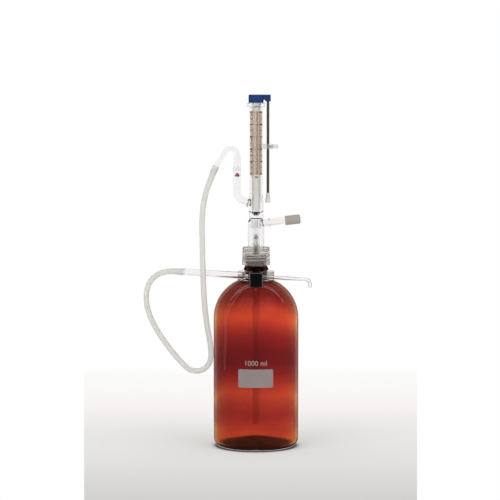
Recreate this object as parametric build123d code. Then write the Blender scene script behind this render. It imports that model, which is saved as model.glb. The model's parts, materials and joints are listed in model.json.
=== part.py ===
from build123d import *
from math import acos, asin, atan, cos, degrees, pi, radians, sin, sqrt, tan
import os

# Bottle-top dispenser: a glass piston head screwed on a one-litre reagent bottle.
# Millimetres. +Z is up and the origin lies on the bottle's axis at the surface it stands on.
# The delivery valve, the hose and its loop lie towards -X, the stop rod and the spout
# towards +X, and the spout passes in front of the neck, on the -Y side.

# Bottle
bottle_d = 95.0
bottle_wall = 3.0
base_corner_r = 9.0
bearing_w = 5.0          # width of the flat ring that the bottle stands on
push_up = 7.0            # height of the dome pushed up into the base
shoulder_z = 143.3       # centre of the round shoulder
neck_d = 25.0
neck_wall = 3.0
neck_h = 24.7            # from the neck's foot on the shoulder up to the mouth
bead_r = 1.45            # of the bead's section
bead_rise = 9.3          # from the neck's foot up to the bead
taper_h = 4.6            # from the bead up to the thread
finish_step = 0.7        # by which the glass under the thread is slimmer than the neck
lip_chamfer = 0.8

# Screw cap, gasket and washer
gasket_t = 1.6
gasket_rim = 0.5         # by which the gasket and the adapter's foot stand past the glass finish
washer_t = 2.0
thread_room = 1.8        # from the glass finish out to the cap's bore
cap_wall = 1.3           # wall between the bore and the root of the ribs
cap_flare = 0.6          # by which the skirt's radius grows down to its lower edge
cap_top_t = 2.8
cap_h = 20.1
rib_count = 28
rib_h = 0.25
rib_root = 0.6           # by which the ribs are let into the wall
rib_w = 1.3

# Glass adapter: foot, jacket, socket and vent arm
foot_t = 3.0
socket_wall = 1.05
jacket_room = 1.3        # between the socket and the jacket
jacket_wall = 1.4
jacket_h = 39.3          # from the foot's underside to the rim of the socket
rim_in = 1.2             # by which the rim's radius is less than the jacket's
rim_round_h = 4.2
socket_len = 10.7
socket_roof_t = 3.0
vent_arm_d = 8.2
vent_arm_wall = 1.6
vent_arm_drop = 6.1      # from the rim down to the arm's axis at the jacket's axis
vent_arm_rise = 6.6      # degrees
vent_arm_len = 46.5      # from the jacket's axis
vent_collar_r = 0.8      # of the collar's section
vent_collar_h = 0.5      # by which it stands out
vent_collar_s = 15.0     # from the jacket's axis
vent_cap_wall = 1.05
vent_cap_len = 17.0
vent_cap_end_t = 3.2

# Barrel: pump chamber, graduated tube, flange and blown side arm
bore_d = 9.65            # makes one millilitre 13.7 mm of the plunger's travel
barrel_wall = 2.13
barrel_len = 127.1
seal_t = 1.0
seal_w = 1.25
chamber_bore_d = 12.0
chamber_wall = 2.1
chamber_h = 20.5
chamber_taper_h = 5.0
chamber_floor_t = 2.4
flange_w = 3.25          # by which the flange stands out from the barrel
flange_t = 4.0
cone_step = 0.85         # from the stem out to the cone's lower end
cone_drop = 0.5          # by which the cone's radius shrinks over the socket
stem_wall = 1.1
stem_len = 28.0          # below the barrel's shoulder
arm_wall = 1.4
arm_bore_d = 4.8
arm_root_drop = 3.8      # from the chamber's top down to the arm's axis at the chamber's wall
arm_tilt = 20.0          # degrees above level
arm_bend_r = 9.5
arm_flare = 2.4
valve_x = 20.9           # from the barrel's axis to the outlet valve's axis
valve_rim_z = 56.5       # rim of the outlet valve above the barrel's shoulder

# Ball valves, the same at inlet and outlet
ball_d = 4.5
ball_room = 0.5          # from the ball out to its chamber's wall
seat_lip = 0.19          # from the throat's edge out to the ring that the ball rests on
throat_len = 3.8
ball_lift = 2.0
ball_seat_gap = 0.05
inlet_seat_len = 5.2
seat_rim = 0.3
seat_flange_t = 1.4
nipple_wall = 0.9
nipple_len = 11.0

# Dip tube
dip_tube_wall = 1.65
dip_tube_end_z = 24.0
dip_tube_slant = 30.0    # degrees

# Hose
hose_d = 6.0
hose_cover = 0.2         # left of the hose over the glass nipples in it

# Delivery bend
bend_in = 0.5            # by which its radius is less than the outlet valve's
bend_bore_d = 3.0
plug_len = 4.5
bend_r = 7.0
bend_fall = 58.0         # degrees below level of the falling leg
bend_top_z = 20.5        # centre line of the arch above the valve's rim
bend_taper_h = 6.0
bend_leg = 19.6          # straight glass from the arch to the hose
bend_nipple_len = 8.0

# Neck clip, its block, and the nozzle tube
clip_w = 7.55
clip_rise = 7.1          # from the neck's foot up to the clip's top
clip_mouth_w = 19.0
block_w = 14.0
block_depth = 10.6
block_set = 1.4          # by which the block is let into the clip's edge
nozzle_set = 5.0         # from the block's back to the nozzle's axis
nozzle_rise = 2.9        # from the neck's foot up to the axis over the bottle's middle
nozzle_fall = 3.6        # degrees, down to the right
nozzle_d = 7.8
nozzle_wall = 1.6
nozzle_nipple_len = 9.0
nozzle_start_x = -80.2
nozzle_neck_len = 4.0
nozzle_neck_gap = 2.0    # between the drawn neck and the block
spout_d = 4.2
spout_wall = 1.0
spout_reach_x = 58.6
spout_bend_r = 4.5
spout_lean = 6.0         # degrees off plumb
spout_leg = 8.6

# Plunger, its cap, the stop rod and the stopper
plunger_rest = 2.1       # of the plunger's edge above the chamber's sloping floor
plunger_wall = 1.5
plunger_cap_d = 16.7
plunger_cap_h = 9.1
plunger_cap_round = 1.0
plunger_socket_depth = 5.0
cap_arm_t = 6.0
rod_d = 3.0
rod_room = 1.5           # between the flange and the rod
rod_end_rise = 22.1      # of the rod's lower end above the barrel's shoulder
boss_wall = 1.6
boss_drop = 1.4          # by which the boss reaches below the arm
rod_hole_depth = 5.0
tip_wall = 0.7
tip_bulb_w = 0.7         # by which the bulb stands past the sleeve
tip_bulb_h = 3.6
tip_bulb_round = 0.8
tip_taper_h = 2.4
tip_len = 11.0
tip_grip = 5.6
stopper_reading_ml = 3.0
stopper_room = 0.55      # between the barrel and the stopper
stopper_w = 11.7
stopper_depth = 8.0
stopper_h = 6.0
stopper_bevel = 0.4
screw_d = 2.5
screw_head_d = 4.8
screw_head_len = 5.2
screw_head_round = 1.5
screw_collar_len = 0.8   # smooth part of the head next to the stopper
groove_count = 8
groove_r = 0.7
groove_out = 0.35        # of the groove's middle outside the head

# Clearances
ground_gap = 0.05        # between ground glass faces, and of a press or glued seat
running_gap = 0.05       # plunger in barrel, and cap on plunger
slide_gap = 0.15         # stopper on rod
seat_gap = 0.3           # between parts that come together at the end of a stroke
cap_hole_gap = 0.4
clip_gap = 0.35

# Radii that follow
bottle_r = bottle_d / 2
neck_r = neck_d / 2
neck_bore_r = neck_r - neck_wall
finish_r = neck_r - finish_step
foot_r = finish_r + gasket_rim
cap_bore_r = finish_r + thread_room
throat_r = ball_d / 2 * cos(pi / 4) - seat_lip
valve_bore_r = ball_d / 2 + ball_room
nipple_r = throat_r + nipple_wall
stem_r = valve_bore_r + stem_wall
cone_end_r = stem_r + cone_step
cone_top_r = cone_end_r + cone_drop
socket_top_r = cone_top_r + ground_gap
socket_r = socket_top_r + socket_wall
jacket_bore_r = socket_r + jacket_room
jacket_r = jacket_bore_r + jacket_wall
rim_r = jacket_r - rim_in
arm_r = valve_bore_r + arm_wall
bore_r = bore_d / 2
barrel_r = bore_r + barrel_wall
chamber_bore_r = chamber_bore_d / 2
chamber_r = chamber_bore_r + chamber_wall
flange_r = barrel_r + flange_w
plunger_r = bore_r - running_gap
rod_x = flange_r + rod_room + rod_d / 2
boss_r = rod_d / 2 + boss_wall
hose_fit_r = hose_d / 2 - hose_cover
vent_arm_r = vent_arm_d / 2
clip_r = neck_r + clip_gap + clip_w

# Heights and places that follow
neck_foot_z = shoulder_z + sqrt(bottle_r**2 - neck_r**2)
mouth_z = neck_foot_z + neck_h
foot_z = mouth_z + gasket_t
washer_z = foot_z + foot_t
cap_ceiling_z = washer_z + washer_t
cap_top_z = cap_ceiling_z + cap_top_t
rim_z = foot_z + jacket_h
socket_end_z = rim_z - socket_len
shoulder_glass_z = rim_z + seal_t
chamber_floor_z = shoulder_glass_z + chamber_floor_t
chamber_top_z = shoulder_glass_z + chamber_h
flange_top_z = shoulder_glass_z + barrel_len
flange_under_z = flange_top_z - flange_t
valve_top_z = shoulder_glass_z + valve_rim_z
stem_end_z = shoulder_glass_z - stem_len
plunger_tip_z = chamber_floor_z + plunger_r - throat_r + plunger_rest
plunger_cap_z = flange_top_z + seat_gap
rod_top_z = plunger_cap_z + plunger_cap_h - cap_arm_t + rod_hole_depth - boss_drop
rod_end_z = shoulder_glass_z + rod_end_rise
ml_length = 1000 / (pi * bore_r**2)
stopper_x = barrel_r + stopper_room
stopper_z = flange_under_z - stopper_h - stopper_reading_ml * ml_length
ball_seat_drop = (ball_d / 2 + ball_seat_gap) * sqrt(2) - throat_r
plug_end_z = valve_top_z - plug_len
outlet_throat_z = plug_end_z - seat_gap - ball_lift - ball_d / 2 - ball_seat_drop
inlet_throat_z = stem_end_z + inlet_seat_len
clip_top_z = neck_foot_z + clip_rise
block_back_y = block_set - clip_r
block_front_y = block_back_y - block_depth
nozzle_y = block_back_y - nozzle_set
nozzle_z = neck_foot_z + nozzle_rise
nozzle_neck_x = -block_w / 2 - nozzle_neck_gap - nozzle_neck_len

# Hose route: centre line from the delivery bend to the nozzle tube, corners chosen by hand
hose_turns = [
    (-50.2, -1.2, 299.6),
    (-56.6, -7.6, 281.6),
    (-59.8, -18.0, 259.0),
    (-59.2, -30.5, 232.0),
    (-58.2, -37.5, 201.0),
    (-57.3, -38.0, 169.0),
    (-54.2, -35.0, 139.0),
    (-50.4, -33.2, 119.6),
    (-49.5, -32.4, 108.6),
    (-50.0, -31.8, 100.0),
    (-53.8, -31.3, 92.9),
    (-60.5, -30.9, 88.5),
    (-68.5, -30.6, 87.7),
    (-75.9, -30.3, 90.8),
    (-86.6, -29.8, 102.0),
    (-97.6, -29.0, 115.4),
    (-112.4, -28.0, 137.4),
    (-121.0, -27.0, 158.8),
    (-121.4, -26.0, 177.4),
    (-114.6, -24.8, 191.2),
    (-98.9, -24.0, 199.2),
]


def turned(outline):
    """Solid of revolution about Z from a closed outline of (radius, height) corners."""
    return revolve(make_face(Plane.XZ * Polyline(*outline, close=True)), Axis.Z)


def rod(radius, low, high):
    """Round bar about Z between two heights."""
    return Pos(0, 0, low) * Cylinder(radius, high - low, align=(Align.CENTER, Align.CENTER, Align.MIN))


def bent_rod(radius, path):
    """Round bar along a path."""
    return sweep(Plane(path @ 0, z_dir=path % 0) * Circle(radius), path=path)


def rounded_rims(shape, low, high, radius):
    """The shape with its level round edges between two heights rounded off."""
    rims = shape.edges().filter_by(GeomType.CIRCLE).filter_by_position(Axis.Z, low, high)
    return fillet(rims, radius)


def ball_seat(throat_z):
    """Hollow of a ball valve: throat, 45 degree seat and the foot of the ball's chamber."""
    seat_rise = valve_bore_r - throat_r
    return turned([
        (0, throat_z - throat_len),
        (throat_r, throat_z - throat_len),
        (throat_r, throat_z),
        (valve_bore_r, throat_z + seat_rise),
        (0, throat_z + seat_rise),
    ])


def bottle():
    """Amber bottle: round shoulder, beaded neck and pushed-up base."""
    inner_r = bottle_r - bottle_wall
    corner_x = bottle_r - base_corner_r
    dome_w = corner_x - bearing_w
    dome_r = (dome_w**2 + push_up**2) / (2 * push_up)
    dome_z = push_up - dome_r
    floor_r = dome_r + bottle_wall
    floor_w = sqrt(floor_r**2 - (bottle_wall - dome_z) ** 2)
    neck_turn = degrees(acos(neck_r / bottle_r))
    bore_turn = degrees(acos(neck_bore_r / inner_r))
    bead_z = neck_foot_z + bead_rise
    taper_z = bead_z + taper_h
    with BuildPart() as solid:
        with BuildSketch(Plane.XZ):
            with BuildLine():
                CenterArc((0, dome_z), dome_r, 90, -degrees(asin(dome_w / dome_r)))
                Line((dome_w, 0), (corner_x, 0))
                CenterArc((corner_x, base_corner_r), base_corner_r, 270, 90)
                Line((bottle_r, base_corner_r), (bottle_r, shoulder_z))
                shoulder = CenterArc((0, shoulder_z), bottle_r, 0, neck_turn)
                Line(shoulder @ 1, (neck_r, bead_z - bead_r))
                bead = CenterArc((neck_r, bead_z), bead_r, 270, 90)
                Polyline(
                    bead @ 1,
                    (finish_r, taper_z),
                    (finish_r, mouth_z - lip_chamfer),
                    (finish_r - lip_chamfer, mouth_z),
                    (neck_bore_r, mouth_z),
                )
                inside = CenterArc((0, shoulder_z), inner_r, 0, bore_turn)
                Line((neck_bore_r, mouth_z), inside @ 1)
                Line(inside @ 0, (inner_r, base_corner_r))
                corner = CenterArc((corner_x, base_corner_r), base_corner_r - bottle_wall, 270, 90)
                floor = CenterArc((0, dome_z), floor_r, 90, -degrees(asin(floor_w / floor_r)))
                Line(corner @ 0, floor @ 1)
                Line(floor @ 0, (0, push_up))
            make_face()
        revolve(axis=Axis.Z)
    return solid.part


def mouth_gasket():
    """Flat ring between the bottle's mouth and the adapter's foot."""
    return rod(foot_r, mouth_z, foot_z) - rod(neck_bore_r, mouth_z, foot_z)


def cap_washer():
    """Ring on the adapter's foot that the cap presses down."""
    outer = rod(cap_bore_r - seat_gap, washer_z, cap_ceiling_z)
    return outer - rod(jacket_r + 2 * cap_hole_gap, washer_z, cap_ceiling_z)


def screw_cap():
    """Ribbed cap with a hole for the jacket, bored for the bottle's thread."""
    low = cap_top_z - cap_h
    root_r = cap_bore_r + cap_wall
    draft = degrees(atan(cap_flare / cap_h))
    core = turned([(0, low), (root_r + cap_flare, low), (root_r, cap_top_z), (0, cap_top_z)])
    core = rounded_rims(core, cap_top_z - 0.1, cap_top_z + 0.1, cap_wall / 2)
    rib = Box(rib_h + rib_root, rib_w, cap_h - cap_wall, align=(Align.MAX, Align.CENTER, Align.MIN))
    rib = Pos(root_r + rib_h + cap_flare, 0, low) * Rot(0, -draft, 0) * rib
    ribs = [Rot(0, 0, 360 * i / rib_count) * rib for i in range(rib_count)]
    bore = rod(cap_bore_r, low, cap_ceiling_z)
    hole = rod(jacket_r + cap_hole_gap, low, cap_top_z)
    return core + ribs - bore - hole


def vent_frame():
    """Plane at the jacket's axis whose Z runs along the vent arm."""
    tilt = radians(vent_arm_rise)
    return Plane((0, 0, rim_z - vent_arm_drop), x_dir=(0, 1, 0), z_dir=(cos(tilt), 0, sin(tilt)))


def adapter():
    """Glass foot and jacket, with the socket sealed into its top and the vent arm on its side."""
    roof_z = rim_z - socket_roof_t
    jacket = turned([
        (jacket_bore_r, foot_z),
        (foot_r, foot_z),
        (foot_r, washer_z),
        (jacket_r, washer_z),
        (jacket_r, rim_z - rim_round_h),
        (rim_r, rim_z - rim_round_h / 4),
        (rim_r, rim_z),
        (socket_top_r, rim_z),
        (cone_end_r + ground_gap, socket_end_z),
        (socket_r, socket_end_z),
        (socket_r, roof_z),
        (jacket_bore_r, roof_z),
    ])
    jacket = rounded_rims(jacket, rim_z - rim_round_h - 0.1, rim_z - rim_round_h + 0.1, jacket_wall)
    jacket = rounded_rims(jacket, foot_z - 0.1, washer_z - 0.1, foot_t / 5)
    frame = vent_frame()
    arm_start = sqrt(jacket_bore_r**2 - (vent_arm_r - vent_arm_wall) ** 2)
    collar_r = vent_arm_r + vent_collar_h - vent_collar_r
    collar = frame * Pos(0, 0, vent_collar_s) * Torus(collar_r, vent_collar_r)
    arm = frame * rod(vent_arm_r, arm_start + jacket_wall / 2, vent_arm_len)
    bore = frame * rod(vent_arm_r - vent_arm_wall, socket_r + ground_gap, vent_arm_len)
    return jacket + arm + collar - bore


def vent_cap():
    """Grey rubber cap on the end of the vent arm."""
    open_end = vent_arm_len - (vent_cap_len - vent_cap_end_t)
    hollow_r = vent_arm_r + ground_gap
    cap = rod(hollow_r + vent_cap_wall, open_end, open_end + vent_cap_len)
    cap = rounded_rims(cap, open_end + vent_cap_len - 0.1, open_end + vent_cap_len + 0.1, 1.8)
    cap = rounded_rims(cap, open_end - 0.1, open_end + 0.1, 0.4)
    hollow = rod(hollow_r, open_end, vent_arm_len + ground_gap)
    return vent_frame() * (cap - hollow)


def joint_seal():
    """Dark ring between the adapter's rim and the barrel."""
    return rod(socket_top_r + seal_w, rim_z, shoulder_glass_z) - rod(socket_top_r, rim_z, shoulder_glass_z)


def arm_path():
    """Centre line of the side arm, from inside the chamber's wall up to the valve's rim."""
    rise = tan(radians(arm_tilt))
    root_z = chamber_top_z - arm_root_drop
    start_x = chamber_r - chamber_wall / 2
    start = (-start_x, 0, root_z - (chamber_r - start_x) * rise)
    corner = (-valve_x, 0, root_z + (valve_x - chamber_r) * rise)
    return FilletPolyline(start, corner, (-valve_x, 0, valve_top_z), radius=arm_bend_r)


def arm_flare_solid(path):
    """Trumpet-shaped root that joins the side arm to the chamber."""
    outline = [(0, 0), (arm_r + arm_flare, 0)]
    for turn in (30, 60, 90):
        across = arm_r + arm_flare * (1 - sin(radians(turn)))
        outline.append((across, arm_flare * (1 - cos(radians(turn)))))
    outline.append((0, arm_flare))
    frame = Plane(path @ 0, x_dir=(0, 1, 0), z_dir=path % 0)
    return frame * Pos(0, 0, chamber_wall / 2) * turned(outline)


def barrel():
    """Glass barrel in one blown piece: flange, bored tube, chamber, cone, stem and side arm."""
    outer = turned([
        (0, stem_end_z),
        (stem_r, stem_end_z),
        (stem_r, socket_end_z),
        (cone_end_r, socket_end_z),
        (cone_top_r, rim_z),
        (cone_top_r, shoulder_glass_z),
        (rim_r, shoulder_glass_z),
        (chamber_r, chamber_floor_z),
        (chamber_r, chamber_top_z),
        (barrel_r, chamber_top_z + chamber_taper_h),
        (barrel_r, flange_under_z),
        (flange_r, flange_under_z),
        (flange_r, flange_top_z),
        (0, flange_top_z),
    ])
    outer = rounded_rims(
        outer, chamber_top_z - 0.1, chamber_top_z + chamber_taper_h + 0.1, chamber_taper_h)
    rim = outer.edges().filter_by(GeomType.CIRCLE).filter_by_position(
        Axis.Z, flange_under_z - 0.1, flange_top_z + 0.1)
    outer = fillet(rim, flange_t / 4)
    path = arm_path()
    outer += [bent_rod(arm_r, path), arm_flare_solid(path)]
    bore = turned([
        (0, chamber_floor_z),
        (throat_r, chamber_floor_z),
        (chamber_bore_r, chamber_floor_z + chamber_bore_r - throat_r),
        (chamber_bore_r, chamber_top_z - chamber_wall / 2),
        (bore_r, chamber_top_z + chamber_taper_h),
        (bore_r, flange_top_z),
        (0, flange_top_z),
    ])
    ball_roof_z = inlet_throat_z + ball_seat_drop + ball_d / 2 + ball_lift + seat_gap
    inlet = rod(throat_r, stem_end_z, chamber_floor_z) + rod(valve_bore_r, stem_end_z, ball_roof_z)
    outlet_seat_z = outlet_throat_z + valve_bore_r - throat_r
    chamber = rod(valve_bore_r, outlet_seat_z, plug_end_z)
    socket = rod(valve_bore_r + ground_gap, plug_end_z, valve_top_z)
    outlet = Pos(-valve_x, 0, 0) * (chamber + socket + ball_seat(outlet_throat_z))
    return outer - bore - inlet - outlet - arm_bore(path)


def arm_bore(path):
    """Bore of the side arm, from the chamber to the foot of the outlet valve's throat."""
    reach = path.edges()[0].length
    inward = path @ 0 - (path % 0) * (chamber_r / 2)
    top = (-valve_x, 0, outlet_throat_z - throat_len)
    corner = path @ 0 + (path % 0) * (reach + arm_bend_r * tan(radians(90 - arm_tilt) / 2))
    route = FilletPolyline(inward, corner, top, radius=arm_bend_r)
    return bent_rod(arm_bore_d / 2, route)


def inlet_seat():
    """Seat plug pushed into the stem, with a nipple for the dip tube."""
    flange_z = stem_end_z - seat_flange_t
    top = inlet_throat_z + valve_bore_r - throat_r - seat_rim
    plug = rod(valve_bore_r - ground_gap, stem_end_z, top)
    flange = rod(stem_r, flange_z, stem_end_z)
    nipple = rod(nipple_r, flange_z - nipple_len, flange_z)
    bore = rod(throat_r, flange_z - nipple_len, inlet_throat_z)
    return plug + flange + nipple - bore - ball_seat(inlet_throat_z)


def valve_ball(x, throat_z):
    """Ball resting on its seat."""
    return Pos(x, 0, throat_z + ball_seat_drop) * Sphere(ball_d / 2)


def dip_tube():
    """Tube from the inlet valve down to the bottle's base, its end cut on a slant."""
    top = stem_end_z - seat_flange_t
    hollow_r = nipple_r + ground_gap
    tube_r = hollow_r + dip_tube_wall
    tube = rod(tube_r, dip_tube_end_z, top) - rod(hollow_r, dip_tube_end_z, top)
    slant = Pos(0, 0, dip_tube_end_z) * Rot(0, dip_tube_slant, 0) * Box(
        8 * tube_r, 8 * tube_r, 2 * tube_r, align=(Align.CENTER, Align.CENTER, Align.MAX))
    return tube - slant


def bend_path():
    """Centre line of the delivery bend: up from the valve, over the arch and down to the hose."""
    top_z = valve_top_z + bend_top_z
    arc_start_z = top_z - bend_r
    fall = radians(bend_fall)
    reach = bend_r * tan((pi / 2 + fall) / 2)
    corner = Vector(-valve_x, 0, arc_start_z + reach)
    end = corner + Vector(-cos(fall), 0, -sin(fall)) * (reach + bend_leg + bend_nipple_len)
    return FilletPolyline((-valve_x, 0, plug_end_z), corner, end, radius=bend_r)


def hose_start():
    """Where the hose begins on the delivery bend."""
    path = bend_path()
    return path @ 1 - (path % 1) * bend_nipple_len


def delivery_bend():
    """Bent glass tube whose ground end plugs the outlet valve."""
    path = bend_path()
    taper_z = valve_top_z + bend_top_z - bend_r
    leg = turned([
        (0, plug_end_z),
        (valve_bore_r, plug_end_z),
        (valve_bore_r, valve_top_z),
        (arm_r - bend_in, valve_top_z),
        (arm_r - bend_in, taper_z - bend_taper_h),
        (hose_fit_r, taper_z),
        (0, taper_z),
    ])
    return Pos(-valve_x, 0, 0) * leg + bent_rod(hose_fit_r, path) - bent_rod(bend_bore_d / 2, path)


def nozzle_frame():
    """Plane where the nozzle tube crosses the bottle's middle, its Z along the tube to the spout."""
    fall = radians(nozzle_fall)
    return Plane((0, nozzle_y, nozzle_z), x_dir=(0, 1, 0), z_dir=(cos(fall), 0, -sin(fall)))


def nozzle_path(start):
    """Centre line from a distance along the nozzle tube, round the last bend and down the spout."""
    fall = radians(nozzle_fall)
    lean = radians(spout_lean)
    corner_s = spout_reach_x / cos(fall)
    frame = nozzle_frame()
    corner = frame.from_local_coords((0, 0, corner_s))
    end = corner + Vector(sin(lean), 0, -cos(lean)) * spout_leg
    return FilletPolyline(frame.from_local_coords((0, 0, start)), corner, end, radius=spout_bend_r)


def nozzle():
    """Glass nozzle tube: nipple for the hose, wide tube, drawn neck and bent spout."""
    fall = cos(radians(nozzle_fall))
    start = nozzle_start_x / fall
    neck = nozzle_neck_x / fall
    tube_r = nozzle_d / 2
    spout_r = spout_d / 2
    spout_bore_r = spout_r - spout_wall
    wide = turned([
        (0, start - nozzle_nipple_len),
        (hose_fit_r, start - nozzle_nipple_len),
        (hose_fit_r, start),
        (tube_r, start + tube_r - hose_fit_r),
        (tube_r, neck),
        (spout_r, neck + nozzle_neck_len),
        (0, neck + nozzle_neck_len),
    ])
    hollow = turned([
        (0, start - nozzle_nipple_len),
        (spout_bore_r, start - nozzle_nipple_len),
        (spout_bore_r, start),
        (tube_r - nozzle_wall, start + nozzle_neck_len),
        (tube_r - nozzle_wall, neck - nozzle_neck_len / 2),
        (spout_bore_r, neck + nozzle_neck_len / 2),
        (0, neck + nozzle_neck_len / 2),
    ])
    spout = bent_rod(spout_r, nozzle_path(neck + nozzle_neck_len / 2))
    return nozzle_frame() * wide + spout - nozzle_frame() * hollow - bent_rod(
        spout_bore_r, nozzle_path(neck))


def shoulder_cut():
    """Ball just clear of the bottle's shoulder, to shape what rests on it."""
    return Pos(0, 0, shoulder_z) * Sphere(bottle_r + seat_gap)


def neck_clip():
    """Clear ring sprung round the neck under the bead, open at the back."""
    low = shoulder_z + sqrt(bottle_r**2 - clip_r**2)
    tall = 2 * (clip_top_z - low)
    ring = rod(clip_r, low, clip_top_z) - rod(neck_r + clip_gap, low, clip_top_z)
    mouth = Pos(0, clip_r, low) * Box(clip_mouth_w, 2 * clip_r, tall)
    flat = Pos(0, block_back_y, low) * Box(
        block_w, clip_r, tall, align=(Align.CENTER, Align.MAX, Align.CENTER))
    return ring - mouth - flat - shoulder_cut()


def nozzle_block():
    """Clear block on the front of the clip, resting on the shoulder and bored for the spout."""
    low = shoulder_z + sqrt(bottle_r**2 - block_front_y**2 - (block_w / 2) ** 2)
    block = Pos(0, block_front_y, low) * Box(
        block_w, block_depth, clip_top_z - low, align=(Align.CENTER, Align.MIN, Align.MIN))
    bore = nozzle_frame() * rod(spout_d / 2 + ground_gap, -block_w, block_w)
    return block - shoulder_cut() - bore


def plunger():
    """Ground glass piston, hollow and closed at its lower end."""
    top_z = plunger_cap_z + plunger_socket_depth - running_gap
    solid = rounded_rims(
        rod(plunger_r, plunger_tip_z, top_z), plunger_tip_z - 0.1, plunger_tip_z + 0.1, plunger_wall / 2)
    return solid - rod(plunger_r - plunger_wall, plunger_tip_z + plunger_wall, top_z)


def plunger_cap():
    """Blue cap on the plunger, with the arm and boss that carry the stop rod."""
    top_z = plunger_cap_z + plunger_cap_h
    arm_z = top_z - cap_arm_t
    cap_r = plunger_cap_d / 2
    body = rod(cap_r, plunger_cap_z, top_z)
    boss = Pos(rod_x, 0, 0) * rod(boss_r, arm_z - boss_drop, top_z)
    web = Pos(0, 0, arm_z) * Box(rod_x, 2 * boss_r, cap_arm_t, align=(Align.MIN, Align.CENTER, Align.MIN))
    whole = body + boss + web
    whole = fillet(whole.faces().sort_by(Axis.Z)[-1].edges(), plunger_cap_round)
    socket = rod(plunger_r + running_gap, plunger_cap_z, plunger_cap_z + plunger_socket_depth)
    rod_hole = Pos(rod_x, 0, 0) * rod(rod_d / 2 + ground_gap, arm_z - boss_drop, rod_top_z)
    return whole - socket - rod_hole


def stop_rod():
    """Dark rod beside the barrel."""
    return Pos(rod_x, 0, 0) * rod(rod_d / 2, rod_end_z, rod_top_z)


def rod_tip():
    """Soft clear sleeve pushed on the rod's lower end, with a round bulb."""
    top = rod_end_z + tip_grip
    low = top - tip_len
    sleeve_r = rod_d / 2 + tip_wall
    bulb_r = sleeve_r + tip_bulb_w
    bulb = rounded_rims(rod(bulb_r, low, low + tip_bulb_h), low - 0.1, low + 0.1, tip_bulb_round)
    sleeve = turned([
        (0, low + tip_bulb_h),
        (bulb_r, low + tip_bulb_h),
        (sleeve_r, low + tip_bulb_h + tip_taper_h),
        (sleeve_r, top),
        (0, top),
    ])
    hole = rod(rod_d / 2 + ground_gap, rod_end_z - ground_gap, top)
    return Pos(rod_x, 0, 0) * (bulb + sleeve - hole)


def stopper():
    """Clear stopper that slides on the rod and meets the flange's underside."""
    mid_x = stopper_x + stopper_w / 2
    body = Pos(mid_x, 0, stopper_z) * Box(
        stopper_w, stopper_depth, stopper_h, align=(Align.CENTER, Align.CENTER, Align.MIN))
    body = fillet(body.edges().filter_by(Axis.Z), stopper_depth / 3)
    body = chamfer(body.faces().filter_by(Axis.Z).edges(), stopper_bevel)
    rod_hole = Pos(rod_x, 0, 0) * rod(rod_d / 2 + slide_gap, stopper_z, stopper_z + stopper_h)
    return body - rod_hole - screw_frame() * rod(screw_d / 2 + slide_gap, 0, stopper_w)


def screw_frame():
    """Plane at the rod's axis whose Z runs out along the stopper's screw."""
    return Plane((rod_x, 0, stopper_z + stopper_h / 2), x_dir=(0, 1, 0), z_dir=(1, 0, 0))


def stopper_screw():
    """Thumb screw that clamps the stopper on the rod."""
    face = stopper_x + stopper_w - rod_x + seat_gap
    end = face + screw_head_len
    head_r = screw_head_d / 2
    head = rounded_rims(rod(head_r, face, end), end - 0.1, end + 0.1, screw_head_round)
    groove = Pos(head_r + groove_out, 0, 0) * rod(groove_r, face + screw_collar_len, end)
    grooves = [Rot(0, 0, 360 * i / groove_count) * groove for i in range(groove_count)]
    shank = rod(screw_d / 2, rod_d / 2 + seat_gap, face)
    return screw_frame() * (head - grooves + shank)


def hose():
    """Limp hose from the delivery bend to the nozzle tube, as one round bar."""
    end = nozzle_frame().from_local_coords((0, 0, nozzle_start_x / cos(radians(nozzle_fall))))
    points = [hose_start()] + [Vector(p) for p in hose_turns] + [end]
    radii = []
    for before, here, after in zip(points, points[1:], points[2:]):
        run = min((here - before).length, (after - here).length)
        turn = (here - before).get_angle(after - here)
        radii.append(0.45 * run / tan(radians(turn / 2)))
    path = FilletPolyline(*points, radius=radii)
    solid = bent_rod(hose_d / 2, path)
    print("hose length", round(path.length, 1), "radii", [round(r) for r in radii])
    print("hose volume over section times length",
          round(solid.volume / (pi * hose_d**2 / 4 * path.length), 4))
    return solid


os.makedirs("parts", exist_ok=True)
pieces = {
    "bottle": bottle(),
    "mouth_gasket": mouth_gasket(),
    "cap_washer": cap_washer(),
    "screw_cap": screw_cap(),
    "adapter": adapter(),
    "vent_cap": vent_cap(),
    "joint_seal": joint_seal(),
    "barrel": barrel(),
    "inlet_seat": inlet_seat(),
    "inlet_ball": valve_ball(0, inlet_throat_z),
    "outlet_ball": valve_ball(-valve_x, outlet_throat_z),
    "dip_tube": dip_tube(),
    "delivery_bend": delivery_bend(),
    "nozzle": nozzle(),
    "neck_clip": neck_clip(),
    "nozzle_block": nozzle_block(),
    "plunger": plunger(),
    "plunger_cap": plunger_cap(),
    "stop_rod": stop_rod(),
    "rod_tip": rod_tip(),
    "stopper": stopper(),
    "stopper_screw": stopper_screw(),
    "hose": hose(),
}
for name, solid in pieces.items():
    export_step(solid, f"parts/{name}.step")
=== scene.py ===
import json
from math import cos, pi, radians, sin

import bmesh
import bpy
from mathutils import Matrix, Vector

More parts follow.
